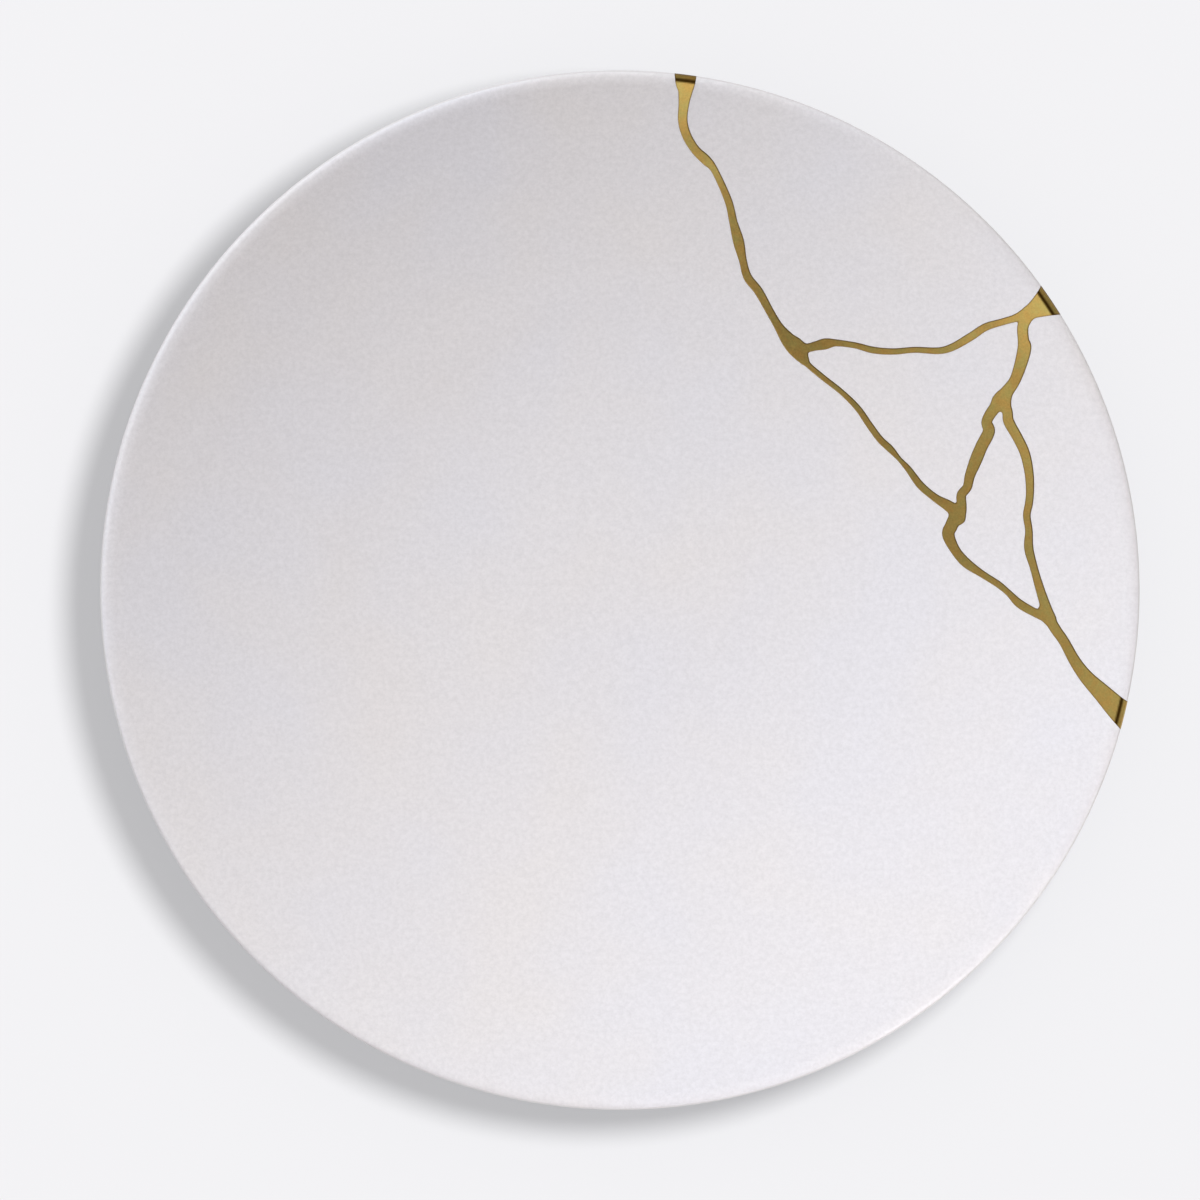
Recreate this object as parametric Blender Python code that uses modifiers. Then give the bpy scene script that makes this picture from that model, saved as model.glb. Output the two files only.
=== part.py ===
"""Kintsugi dinner plate: a broken porcelain coupe put together again with gold seams.

Five porcelain pieces meet along one branching seam of gilded lacquer, which runs through the wall
and stands a hair proud of both faces. Metres, +Z up. The origin is the centre of the foot ring's
underside, where the plate rests. Seen from above, +Y is the top of the plate and +X its right.
"""

import math

import bmesh
import bpy

# Driving dimensions of the plate
PLATE_DIAMETER = 0.270
PLATE_HEIGHT = 0.026
WELL_WALL = 0.0044
LIP_WALL = 0.0034
FLAT_RADIUS = 0.0295
RIM_BAND = 0.0245
WELL_SLOPE = math.radians(9.0)
SHOULDER_SLOPE = math.radians(15.0)

# Foot ring: its outer diameter and width on the table, and the room that it leaves under the well
FOOT_DIAMETER = 0.145
FOOT_WIDTH = 0.0034
FOOT_HEIGHT = 0.0030
FOOT_ROOT = 0.0010
FOOT_EDGE = 0.0005

# Gold seam: its usual width, how far it stands off the porcelain, and the joint beside it
SEAM_WIDTH = 0.0024
SEAM_PROUD = 0.00012
JOINT_GAP = 0.0003

# Fineness of the facets
TURN_STEPS = 80
LIP_STEPS = 6
SEAM_SPAN_STEPS = 2

# The seams as they branch, in hundredths of the rim's radius, with the width in seam widths.
# Each list is a hand-chosen route from one end of a branch to the other.
SEAM_ROUTES = {
    "upper": (
        (12.8, 103.0, 2.75), (12.6, 98.2, 2.25), (12.6, 96.2, 1.60), (12.3, 93.5, 1.15),
        (12.1, 90.4, 1.03), (12.9, 87.5, 1.00), (14.6, 84.8, 0.98), (16.6, 82.9, 1.08),
        (18.3, 80.9, 0.77), (20.9, 75.2, 0.83), (21.9, 71.1, 0.90), (22.9, 67.4, 1.20),
        (23.8, 63.6, 0.85), (24.7, 60.5, 0.94), (26.8, 57.8, 0.95), (29.0, 53.9, 0.88),
        (30.7, 51.0, 0.98), (32.5, 48.5, 1.55), (34.2, 46.8, 1.95), (35.6, 44.7, 1.05),
    ),
    "top": (
        (34.1, 46.9, 1.40), (36.0, 46.8, 0.98), (37.8, 47.2, 1.00), (39.7, 47.6, 1.20),
        (41.8, 47.8, 0.76), (45.5, 47.3, 0.66), (48.9, 46.4, 0.73), (52.8, 46.1, 0.68),
        (57.0, 46.4, 0.64), (61.5, 46.2, 0.73), (64.2, 46.9, 0.82), (67.7, 48.9, 0.90),
        (70.5, 50.7, 0.84), (73.8, 51.7, 0.75), (76.5, 52.5, 0.90), (79.6, 54.0, 1.60),
        (82.8, 56.0, 3.40), (85.2, 57.6, 4.40),
    ),
    "left": (
        (34.9, 45.6, 1.20), (36.2, 43.8, 0.68), (39.1, 41.3, 0.62), (42.9, 38.3, 0.60),
        (46.0, 35.2, 0.68), (48.3, 31.9, 0.73), (50.3, 29.2, 0.75), (52.3, 27.3, 0.77),
        (54.0, 25.4, 0.52), (55.8, 23.4, 0.70), (58.1, 20.3, 0.84), (60.9, 17.9, 0.86),
        (63.5, 16.3, 1.20), (65.1, 15.0, 1.40),
    ),
    "stem": (
        (78.6, 54.2, 1.50), (77.6, 50.8, 1.22), (77.7, 48.1, 1.22), (77.9, 46.6, 1.48),
        (77.2, 43.5, 1.36), (76.1, 40.4, 1.22), (74.6, 38.2, 1.42), (73.5, 36.4, 2.00),
    ),
    "fork_left": (
        (73.9, 37.0, 1.40), (71.9, 34.6, 1.24), (70.8, 32.5, 1.16), (71.2, 30.6, 1.32),
        (69.8, 27.7, 1.34), (68.7, 25.0, 1.34), (67.6, 22.1, 1.10), (67.1, 19.9, 1.00),
        (66.0, 18.4, 1.04), (66.0, 16.3, 1.12), (65.5, 14.0, 1.50),
    ),
    "fork_right": (
        (73.7, 37.0, 1.40), (74.7, 34.5, 1.14), (75.0, 32.5, 1.16), (76.7, 29.4, 1.10),
        (78.1, 26.4, 1.08), (78.9, 22.7, 0.98), (79.1, 19.2, 0.88), (78.9, 16.7, 0.86),
        (78.5, 14.4, 0.82), (78.9, 11.5, 0.82), (78.9, 8.0, 1.00), (79.9, 4.2, 0.86),
        (81.0, 0.3, 0.97), (82.0, -2.8, 1.12), (82.9, -5.4, 1.25),
    ),
    "lower": (
        (65.4, 15.4, 1.40), (64.1, 12.5, 1.40), (63.5, 10.7, 1.34), (64.8, 7.8, 1.06),
        (66.9, 5.3, 1.06), (70.0, 3.1, 0.78), (73.1, 1.1, 0.74), (75.1, -0.6, 0.70),
        (77.1, -2.6, 0.94), (80.0, -4.3, 0.94), (82.6, -5.4, 1.10),
    ),
    "right": (
        (81.8, -3.9, 1.20), (83.9, -7.4, 1.16), (85.6, -9.9, 1.12), (87.6, -13.6, 1.24),
        (89.8, -16.7, 1.50), (92.8, -19.8, 1.95), (95.4, -22.5, 2.42), (97.2, -24.1, 2.80),
        (100.4, -27.0, 3.30),
    ),
}

# A spot on each porcelain piece, in hundredths of the rim's radius
PORCELAIN_PIECES = {
    "plate_body": (-20.0, -10.0),
    "upper_rim_shard": (55.0, 68.0),
    "inner_shard": (62.0, 32.0),
    "sliver_shard": (72.0, 12.0),
    "right_rim_shard": (91.0, 10.0),
}

PORCELAIN_COLOUR = (0.80, 0.79, 0.78, 1.0)
GOLD_COLOUR = (0.52, 0.38, 0.12, 1.0)

# Sizes that follow from those above
PLATE_RADIUS = PLATE_DIAMETER / 2
FOOT_RADIUS = FOOT_DIAMETER / 2
LIP_RADIUS = PLATE_RADIUS - LIP_WALL / 2
LIP_HEIGHT = PLATE_HEIGHT - LIP_WALL / 2
WELL_HEIGHT = FOOT_HEIGHT + WELL_WALL / 2
SHOULDER_RADIUS = PLATE_RADIUS - RIM_BAND
CUTTER_HEIGHT = 2 * PLATE_HEIGHT


def clear_scene():
    for scene_object in list(bpy.data.objects):
        bpy.data.objects.remove(scene_object, do_unlink=True)


def new_collection(name):
    collection = bpy.data.collections.new(name)
    bpy.context.scene.collection.children.link(collection)
    return collection


def new_material(name, colour, roughness, metallic):
    material = bpy.data.materials.new(name)
    material.use_nodes = True
    shader = material.node_tree.nodes["Principled BSDF"]
    shader.inputs["Base Color"].default_value = colour
    shader.inputs["Roughness"].default_value = roughness
    shader.inputs["Metallic"].default_value = metallic
    return material


def add_mesh_object(name, mesh, collection):
    mesh_object = bpy.data.objects.new(name, mesh)
    collection.objects.link(mesh_object)
    return mesh_object


def dish_stretches():
    """The wall's middle line as stretches of (start radius, start height, start slope, end radius,
    end slope). The slope grows evenly along each; the last one takes what rise is left."""
    stretches = []
    radius = 0.0
    height = WELL_HEIGHT
    slope = 0.0
    for next_radius, next_slope in (
        (FLAT_RADIUS, 0.0),
        (FOOT_RADIUS, math.tan(WELL_SLOPE)),
        (SHOULDER_RADIUS, math.tan(SHOULDER_SLOPE)),
    ):
        stretches.append((radius, height, slope, next_radius, next_slope))
        height += (next_radius - radius) * (slope + next_slope) / 2
        radius = next_radius
        slope = next_slope
    rim_slope = 2 * (LIP_HEIGHT - height) / (LIP_RADIUS - radius) - slope
    stretches.append((radius, height, slope, LIP_RADIUS, rim_slope))
    return stretches


DISH = dish_stretches()


def dish_line(radius):
    """Height and slope angle of the wall's middle line at a radius."""
    for start, height, slope, end, end_slope in DISH:
        if radius <= end or end == LIP_RADIUS:
            run = radius - start
            change = (end_slope - slope) / (end - start)
            return height + run * slope + run * run * change / 2, math.atan(slope + run * change)


def wall_point(radius, side, proud):
    """A point of the wall's face over a radius of its middle line: side is 1 on top, -1 below."""
    height, angle = dish_line(radius)
    share = radius / LIP_RADIUS
    reach = (WELL_WALL + (LIP_WALL - WELL_WALL) * share) / 2 + proud
    return radius - side * reach * math.sin(angle), height + side * reach * math.cos(angle)


def underside_point(radius, proud):
    """The point of the underside that lies at a true radius."""
    line_radius = radius
    for _ in range(4):
        line_radius += radius - wall_point(line_radius, -1, proud)[0]
    return wall_point(line_radius, -1, proud)


def even_steps(start, end, count):
    return [start + (end - start) * step / count for step in range(1, count + 1)]


def plate_profile(proud):
    """Half section of the plate, from the middle of its top over the lip to the middle of its
    underside. With proud above 0 every face but the foot's sole stands that much further out."""
    rings = [FLAT_RADIUS]
    rings += even_steps(FLAT_RADIUS, FOOT_RADIUS, 3)
    rings += even_steps(FOOT_RADIUS, SHOULDER_RADIUS, 3)
    rings += even_steps(SHOULDER_RADIUS, LIP_RADIUS, 5)
    profile = [(0.0, wall_point(0.0, 1, proud)[1])]
    profile += [wall_point(radius, 1, proud) for radius in rings]

    lip_slope = dish_line(LIP_RADIUS)[1]
    lip_reach = LIP_WALL / 2 + proud
    for step in range(1, LIP_STEPS):
        turn = math.pi / 2 + lip_slope - math.pi * step / LIP_STEPS
        profile.append((LIP_RADIUS + lip_reach * math.cos(turn), LIP_HEIGHT + lip_reach * math.sin(turn)))

    sole_outer = FOOT_RADIUS + proud
    sole_inner = FOOT_RADIUS - FOOT_WIDTH - proud
    root_outer = sole_outer + FOOT_ROOT
    root_inner = sole_inner - FOOT_ROOT
    outer_rings = [radius for radius in reversed(rings) if radius > root_outer + FOOT_ROOT]
    inner_rings = [radius for radius in reversed(rings) if radius < root_inner - FOOT_ROOT]
    profile += [wall_point(radius, -1, proud) for radius in outer_rings]
    outer_root = underside_point(root_outer, proud)
    inner_root = underside_point(root_inner, proud)
    profile += [
        outer_root,
        (sole_outer, outer_root[1] - FOOT_ROOT),
        (sole_outer, FOOT_EDGE),
        (sole_outer - FOOT_EDGE, 0.0),
        (sole_inner + FOOT_EDGE, 0.0),
        (sole_inner, FOOT_EDGE),
        (sole_inner, inner_root[1] - FOOT_ROOT),
        inner_root,
    ]
    profile += [wall_point(radius, -1, proud) for radius in inner_rings]
    profile.append((0.0, wall_point(0.0, -1, proud)[1]))
    return profile


def turned_object(name, profile, collection):
    """The profile as a line in the XZ plane, turned once about Z."""
    mesh = bpy.data.meshes.new(name)
    points = [(radius, 0.0, height) for radius, height in profile]
    mesh.from_pydata(points, [(place, place + 1) for place in range(len(points) - 1)], [])
    turned = add_mesh_object(name, mesh, collection)
    screw = turned.modifiers.new("turn", "SCREW")
    screw.axis = "Z"
    screw.steps = TURN_STEPS
    screw.render_steps = TURN_STEPS
    screw.use_merge_vertices = True
    screw.merge_threshold = 0.00001
    screw.use_smooth_shade = True
    return turned


def smooth_route(route):
    """Points of a smooth curve through a route: x and y in metres, and the width."""
    ends = [tuple(2 * a - b for a, b in zip(route[0], route[1]))]
    ends += list(route)
    ends.append(tuple(2 * a - b for a, b in zip(route[-1], route[-2])))
    curve = []
    for place in range(1, len(ends) - 2):
        before, here, after, beyond = ends[place - 1:place + 3]
        steps = SEAM_SPAN_STEPS if place < len(ends) - 3 else SEAM_SPAN_STEPS + 1
        for step in range(steps):
            t = step / SEAM_SPAN_STEPS
            x, y, width = (
                0.5 * (2 * b + (c - a) * t + (2 * a - 5 * b + 4 * c - d) * t**2
                       + (3 * b - a - 3 * c + d) * t**3)
                for a, b, c, d in zip(before, here, after, beyond)
            )
            curve.append((x * PLATE_RADIUS / 100, y * PLATE_RADIUS / 100, width * SEAM_WIDTH))
    return curve


def ribbon_outline(route, clearance):
    """Closed outline of a seam: its left bank out and its right bank back."""
    curve = smooth_route(route)
    left = []
    right = []
    for place, (x, y, width) in enumerate(curve):
        x0, y0, _ = curve[max(place - 1, 0)]
        x1, y1, _ = curve[min(place + 1, len(curve) - 1)]
        length = math.hypot(x1 - x0, y1 - y0)
        across_x = (y0 - y1) / length
        across_y = (x1 - x0) / length
        reach = width / 2 + clearance
        left.append((x + across_x * reach, y + across_y * reach))
        right.append((x - across_x * reach, y - across_y * reach))
    return left + right[::-1]


def flat_prism(name, outline, collection):
    """A flat outline extruded through the plate's whole height, as a closed mesh."""
    curve = bpy.data.curves.new(name, "CURVE")
    curve.dimensions = "2D"
    curve.fill_mode = "BOTH"
    curve.extrude = CUTTER_HEIGHT / 2
    spline = curve.splines.new("POLY")
    spline.points.add(len(outline) - 1)
    for point, (x, y) in zip(spline.points, outline):
        point.co = (x, y, 0.0, 1.0)
    spline.use_cyclic_u = True
    curve_object = bpy.data.objects.new(name + "_outline", curve)
    collection.objects.link(curve_object)
    curve_object.location.z = PLATE_HEIGHT / 2
    bpy.context.view_layer.update()

    evaluated = curve_object.evaluated_get(bpy.context.evaluated_depsgraph_get())
    mesh = bpy.data.meshes.new_from_object(evaluated)
    prism = add_mesh_object(name, mesh, collection)
    prism.matrix_world = curve_object.matrix_world.copy()
    bpy.data.objects.remove(curve_object, do_unlink=True)
    shell = bmesh.new()
    shell.from_mesh(mesh)
    bmesh.ops.remove_doubles(shell, verts=shell.verts, dist=0.000001)
    bmesh.ops.recalc_face_normals(shell, faces=shell.faces)
    shell.to_mesh(mesh)
    shell.free()
    return prism


def add_boolean(target, cutter, operation):
    boolean = target.modifiers.new(operation.lower(), "BOOLEAN")
    boolean.operation = operation
    boolean.object = cutter
    boolean.solver = "EXACT"


def baked_mesh(source):
    """The mesh of an object with its modifiers worked out."""
    bpy.context.view_layer.update()
    evaluated = source.evaluated_get(bpy.context.evaluated_depsgraph_get())
    return bpy.data.meshes.new_from_object(evaluated)


def hide_cutter(cutter):
    cutter.hide_render = True
    cutter.display_type = "WIRE"


def seam_network(name, clearance, collection):
    """All branches of the seam joined into one upright cutter."""
    branches = [
        flat_prism(name + "_" + branch, ribbon_outline(route, clearance), collection)
        for branch, route in SEAM_ROUTES.items()
    ]
    network = branches[0]
    for branch in branches[1:]:
        add_boolean(network, branch, "UNION")
    whole = add_mesh_object(name, baked_mesh(network), collection)
    whole.matrix_world = network.matrix_world.copy()
    for branch in branches:
        bpy.data.objects.remove(branch, do_unlink=True)
    hide_cutter(whole)
    return whole


def loose_islands(mesh):
    """The vertex numbers of each loose part of a mesh."""
    neighbours = [[] for _ in mesh.vertices]
    for edge in mesh.edges:
        first, second = edge.vertices
        neighbours[first].append(second)
        neighbours[second].append(first)
    islands = []
    seen = set()
    for start in range(len(neighbours)):
        if start in seen:
            continue
        seen.add(start)
        island = [start]
        for vertex in island:
            fresh = [other for other in neighbours[vertex] if other not in seen]
            seen.update(fresh)
            island.extend(dict.fromkeys(fresh))
        islands.append(set(island))
    return islands


def nearest_piece(mesh, island):
    """The porcelain piece whose spot lies closest to a vertex of the island."""
    def distance(name):
        x, y = (share * PLATE_RADIUS / 100 for share in PORCELAIN_PIECES[name])
        return min(math.hypot(mesh.vertices[v].co.x - x, mesh.vertices[v].co.y - y) for v in island)
    return min(PORCELAIN_PIECES, key=distance)


def make_porcelain(joint_network, collection, cutters):
    """The whole plate cut along the joint, and each loose part made an object of its own."""
    material = new_material("white_porcelain", PORCELAIN_COLOUR, 0.35, 0.0)
    blank = turned_object("plate_blank", plate_profile(0.0), cutters)
    add_boolean(blank, joint_network, "DIFFERENCE")
    broken = baked_mesh(blank)
    bpy.data.objects.remove(blank, do_unlink=True)

    for island in loose_islands(broken):
        name = nearest_piece(broken, island)
        shell = bmesh.new()
        shell.from_mesh(broken)
        others = [vertex for vertex in shell.verts if vertex.index not in island]
        bmesh.ops.delete(shell, geom=others, context="VERTS")
        mesh = bpy.data.meshes.new(name)
        shell.to_mesh(mesh)
        shell.free()
        mesh.materials.append(material)
        mesh.shade_smooth()
        mesh.set_sharp_from_angle(angle=math.radians(30))
        add_mesh_object(name, mesh, collection)
    bpy.data.meshes.remove(broken)


def make_gold_seam(seam_cutter, collection):
    """The gilded lacquer: the part of a slightly thicker plate that lies within the seams."""
    seam = turned_object("gold_seam", plate_profile(SEAM_PROUD), collection)
    seam.data.materials.append(new_material("gilded_lacquer", GOLD_COLOUR, 0.4, 1.0))
    add_boolean(seam, seam_cutter, "INTERSECT")


clear_scene()
plate_parts = new_collection("kintsugi_dinner_plate")
plate_cutters = new_collection("plate_cutters")
make_porcelain(seam_network("joint_cutter", JOINT_GAP, plate_cutters), plate_parts, plate_cutters)
make_gold_seam(seam_network("seam_cutter", 0.0, plate_cutters), plate_parts)
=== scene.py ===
"""Kintsugi dinner plate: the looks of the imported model, a porcelain coupe mended with gold."""
import math

import bpy
import numpy as np
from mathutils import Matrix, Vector
from mathutils.geometry import delaunay_2d_cdt


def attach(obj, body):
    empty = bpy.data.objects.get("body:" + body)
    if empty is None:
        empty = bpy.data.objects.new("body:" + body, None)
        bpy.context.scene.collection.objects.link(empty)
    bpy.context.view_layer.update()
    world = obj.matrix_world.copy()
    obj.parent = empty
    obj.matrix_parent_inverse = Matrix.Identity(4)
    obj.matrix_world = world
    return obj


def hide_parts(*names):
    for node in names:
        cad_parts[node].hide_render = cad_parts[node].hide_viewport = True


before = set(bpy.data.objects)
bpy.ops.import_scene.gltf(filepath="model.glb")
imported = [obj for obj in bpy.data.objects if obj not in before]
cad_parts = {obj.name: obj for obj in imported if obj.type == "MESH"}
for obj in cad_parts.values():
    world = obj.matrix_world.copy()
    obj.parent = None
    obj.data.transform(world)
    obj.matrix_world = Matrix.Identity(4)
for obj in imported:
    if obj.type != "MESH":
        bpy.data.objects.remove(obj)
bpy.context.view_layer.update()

# PORCELAIN SHARDS
# The plate was turned as one shallow coupe of white porcelain on a low foot ring, and given a satin
# glaze all over but for the sole of the foot, which is wiped bare. Then it broke into five shards.
# Lengths are in millimetres until a mesh is made.
PLATE_RADIUS = 135.0
RIM_RADIUS = 134.98  # of the outermost vertices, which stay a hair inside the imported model's box
PLATE_HEIGHT = 26.0
WELL_WALL = 4.4
LIP_WALL = 3.4
LIP_RADIUS = PLATE_RADIUS - LIP_WALL / 2
LIP_HEIGHT = PLATE_HEIGHT - LIP_WALL / 2
FLAT_RADIUS = 29.5
SHOULDER_RADIUS = 110.5
WELL_SLOPE = math.tan(math.radians(9.0))
SHOULDER_SLOPE = math.tan(math.radians(15.0))

# The foot ring: its outer side, the width from side to side, the round of its roots and of its
# edges, and how far its sides lean
FOOT_RADIUS = 72.5
FOOT_WIDTH = 3.4
FOOT_HEIGHT = 3.0
FOOT_ROOT = 1.0
FOOT_EDGE = 0.5
FOOT_DRAFT = 0.08

# The wall's middle line: its slope grows evenly along each stretch, from the flat well to the lip,
# and the last stretch takes the slope that brings it to the lip's height
LINE_POINTS = 2001
ring_radius = np.linspace(0.0, LIP_RADIUS, LINE_POINTS)
slope_rings = [0.0, FLAT_RADIUS, FOOT_RADIUS, SHOULDER_RADIUS, LIP_RADIUS]
slopes = [0.0, 0.0, WELL_SLOPE, SHOULDER_SLOPE]
well_height = FOOT_HEIGHT + WELL_WALL / 2
shoulder_rise = sum((b - a) * (p + q) / 2 for a, b, p, q in zip(slope_rings, slope_rings[1:4],
                                                                slopes, slopes[1:]))
lip_rise = LIP_HEIGHT - well_height - shoulder_rise
slopes.append(2 * lip_rise / (LIP_RADIUS - SHOULDER_RADIUS) - SHOULDER_SLOPE)
line_slope = np.interp(ring_radius, slope_rings, slopes)

# Two faint rings that the turning left, each a hair steeper and then flatter than the curve: its
# place and width in shares of the plate's radius, and its lean in degrees
TURNING_RINGS = ((0.535, 0.03, 1.2), (0.83, 0.022, 1.3))
RING_GAP = 2.4  # from the steeper half to the flatter one, in widths
for ring, width, lean in TURNING_RINGS:
    across = (ring_radius / PLATE_RADIUS - ring) / width
    line_slope += math.radians(lean) * (np.exp(-across**2) - np.exp(-(across - RING_GAP)**2))
line_step = ring_radius[1] - ring_radius[0]
line_rise = np.cumsum((line_slope[1:] + line_slope[:-1]) / 2 * line_step)
line_height = well_height + np.concatenate([[0.0], line_rise])
line_angle = np.arctan(line_slope)
half_wall = (WELL_WALL + (LIP_WALL - WELL_WALL) * ring_radius / LIP_RADIUS) / 2
LIP_POINTS = 65


def wall_face(side):
    """One face of the wall as radius, height and lean, the angle of its normal out from straight up
    on top (side 1) or from straight down below (side -1). The round of the lip ends each face."""
    radius = ring_radius - side * half_wall * np.sin(line_angle)
    height = line_height + side * half_wall * np.cos(line_angle)
    round_lean = np.linspace(-side * line_angle[-1], math.pi / 2, LIP_POINTS)[1:]
    round_radius = LIP_RADIUS + LIP_WALL / 2 * np.sin(round_lean)
    round_height = LIP_HEIGHT + side * LIP_WALL / 2 * np.cos(round_lean)
    return (np.concatenate([radius, round_radius]), np.concatenate([height, round_height]),
            np.concatenate([-side * line_angle, round_lean]))


top_radius, top_height, top_lean = wall_face(1)
under_radius, under_height, under_lean = wall_face(-1)

# The foot ring is turned into the underside: a round root, a slightly drafted side, a round edge
# and the flat sole, and the same again inside. Each corner is drawn with a few short facets.
CORNER_POINTS = 6
foot_outline = []
for outward, side_radius in ((1, FOOT_RADIUS), (-1, FOOT_RADIUS - FOOT_WIDTH)):
    root_radius = side_radius + outward * (FOOT_ROOT + FOOT_DRAFT)
    root_height = np.interp(root_radius, under_radius, under_height)
    for turn in np.linspace(0.0, math.pi / 2, CORNER_POINTS):
        foot_outline.append((root_radius - outward * FOOT_ROOT * math.sin(turn),
                             root_height - FOOT_ROOT * (1 - math.cos(turn)),
                             outward * turn))
        foot_outline.append((side_radius - outward * FOOT_EDGE * (1 - math.cos(turn)),
                             FOOT_EDGE * (1 - math.sin(turn)),
                             outward * (math.pi / 2 - turn)))
foot_outline.sort()
foot_radius, foot_height, foot_lean = (np.array(column) for column in zip(*foot_outline))
beside = (under_radius < foot_radius[0]) | (under_radius > foot_radius[-1])
order = np.argsort(np.concatenate([under_radius[beside], foot_radius]), kind="stable")
under_height = np.concatenate([under_height[beside], foot_height])[order]
under_lean = np.concatenate([under_lean[beside], foot_lean])[order]
under_radius = np.concatenate([under_radius[beside], foot_radius])[order]

# The breaks, as routes in hundredths of the plate's radius with the seam's width in usual widths.
# Each is one branch, from knot to knot or out over the rim.
SEAM_WIDTH = 2.4
SEAM_ROUTES = (
    # from the upper rim down to the first knot
    ((12.8, 103.0, 2.75), (12.6, 98.2, 2.25), (12.6, 96.2, 1.60), (12.3, 93.5, 1.15),
     (12.1, 90.4, 1.03), (12.9, 87.5, 1.00), (14.6, 84.8, 0.98), (16.6, 82.9, 1.08),
     (18.3, 80.9, 0.77), (20.9, 75.2, 0.83), (21.9, 71.1, 0.90), (22.9, 67.4, 1.20),
     (23.8, 63.6, 0.85), (24.7, 60.5, 0.94), (26.8, 57.8, 0.95), (29.0, 53.9, 0.88),
     (30.7, 51.0, 0.98), (32.5, 48.5, 1.55), (34.2, 46.8, 1.95), (35.6, 44.7, 1.05)),
    # from the first knot to the flare at the upper right rim
    ((34.1, 46.9, 1.40), (36.0, 46.8, 0.98), (37.8, 47.2, 1.00), (39.7, 47.6, 1.20),
     (41.8, 47.8, 0.76), (45.5, 47.3, 0.66), (48.9, 46.4, 0.73), (52.8, 46.1, 0.68),
     (57.0, 46.4, 0.64), (61.5, 46.2, 0.73), (64.2, 46.9, 0.82), (67.7, 48.9, 0.90),
     (70.5, 50.7, 0.84), (73.8, 51.7, 0.75), (76.5, 52.5, 0.90), (79.4, 53.8, 1.70),
     (82.2, 55.4, 3.00), (85.2, 57.3, 4.75)),
    # the long side of the inner shard
    ((34.9, 45.6, 1.20), (36.2, 43.8, 0.68), (39.1, 41.3, 0.62), (42.9, 38.3, 0.60),
     (46.0, 35.2, 0.68), (48.3, 31.9, 0.73), (50.3, 29.2, 0.75), (52.3, 27.3, 0.77),
     (54.0, 25.4, 0.52), (55.8, 23.4, 0.70), (58.1, 20.3, 0.84), (60.9, 17.9, 0.86),
     (63.5, 16.3, 1.20), (65.1, 15.0, 1.40)),
    # the stem down from the flare to the fork
    ((78.7, 53.2, 1.35), (77.6, 50.8, 1.22), (77.7, 48.1, 1.22), (77.9, 46.6, 1.48),
     (77.2, 43.5, 1.36), (76.1, 40.4, 1.22), (74.6, 38.2, 1.42), (73.5, 36.4, 2.00)),
    # the left tine of the fork
    ((73.9, 37.0, 1.40), (71.9, 34.6, 1.24), (70.8, 32.5, 1.16), (71.2, 30.6, 1.32),
     (69.8, 27.7, 1.34), (68.7, 25.0, 1.34), (67.6, 22.1, 1.10), (67.1, 19.9, 1.00),
     (66.0, 18.4, 1.04), (66.0, 16.3, 1.12), (65.5, 14.0, 1.50)),
    # the right tine of the fork
    ((73.7, 37.0, 1.40), (74.7, 34.5, 1.14), (75.0, 32.5, 1.16), (76.7, 29.4, 1.10),
     (78.1, 26.4, 1.08), (78.9, 22.7, 0.98), (79.1, 19.2, 0.88), (78.9, 16.7, 0.86),
     (78.5, 14.4, 0.82), (78.9, 11.5, 0.82), (78.9, 8.0, 1.00), (79.9, 4.2, 0.86),
     (81.0, 0.3, 0.97), (82.0, -2.8, 1.12), (82.9, -5.4, 1.25)),
    # the lower side of the sliver
    ((65.4, 15.4, 1.40), (64.1, 12.5, 1.40), (63.5, 10.7, 1.34), (64.8, 7.8, 1.06),
     (66.9, 5.3, 1.06), (70.0, 3.1, 0.78), (73.1, 1.1, 0.74), (75.1, -0.6, 0.70),
     (77.1, -2.6, 0.94), (80.0, -4.3, 0.94), (82.6, -5.4, 1.10)),
    # out over the lower right rim
    ((81.8, -3.9, 1.20), (83.9, -7.4, 1.16), (85.6, -9.9, 1.12), (87.6, -13.6, 1.24),
     (89.8, -16.7, 1.50), (92.8, -19.8, 1.95), (95.4, -22.5, 2.42), (97.2, -24.1, 2.80),
     (100.4, -27.0, 3.30)),
)
ROUTE_STEPS = 8
KNOT_FILLET = 0.8


def smooth_route(route):
    """A smooth curve through a route's points as rows of x, y and half the seam's width."""
    points = np.array(route) * (PLATE_RADIUS / 100, PLATE_RADIUS / 100, SEAM_WIDTH / 2)
    points = np.vstack([2 * points[0] - points[1], points, 2 * points[-1] - points[-2]])
    rows = []
    for a, b, c, d in zip(points, points[1:], points[2:], points[3:]):
        for t in np.arange(ROUTE_STEPS) / ROUTE_STEPS:
            bend = (2 * a - 5 * b + 4 * c - d) + t * (3 * (b - c) + d - a)
            rows.append(b + 0.5 * t * ((c - a) + t * bend))
    return np.array(rows + [points[-2]])


seam_curves = [smooth_route(route) for route in SEAM_ROUTES]
all_routes = np.vstack(seam_curves)


def edge_distance(x, y):
    """How far each point lies outside the seam's edge, or below zero how deep it lies inside. Where
    two branches meet, the corner between them is filled in, as lacquer does."""
    total = None
    for curve in seam_curves:
        nearest = np.full(x.shape, np.inf)
        for (x0, y0, reach0), (x1, y1, reach1) in zip(curve, curve[1:]):
            run_x, run_y = x1 - x0, y1 - y0
            along = ((x - x0) * run_x + (y - y0) * run_y) / (run_x**2 + run_y**2)
            along = np.clip(along, 0.0, 1.0)
            away = np.hypot(x - x0 - along * run_x, y - y0 - along * run_y)
            nearest = np.minimum(nearest, away - reach0 - along * (reach1 - reach0))
        if total is None:
            total = nearest
        else:
            share = np.clip(0.5 + 0.5 * (nearest - total) / KNOT_FILLET, 0.0, 1.0)
            fill = KNOT_FILLET * share * (1 - share)
            total = nearest * (1 - share) + total * share - fill
    return total


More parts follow.
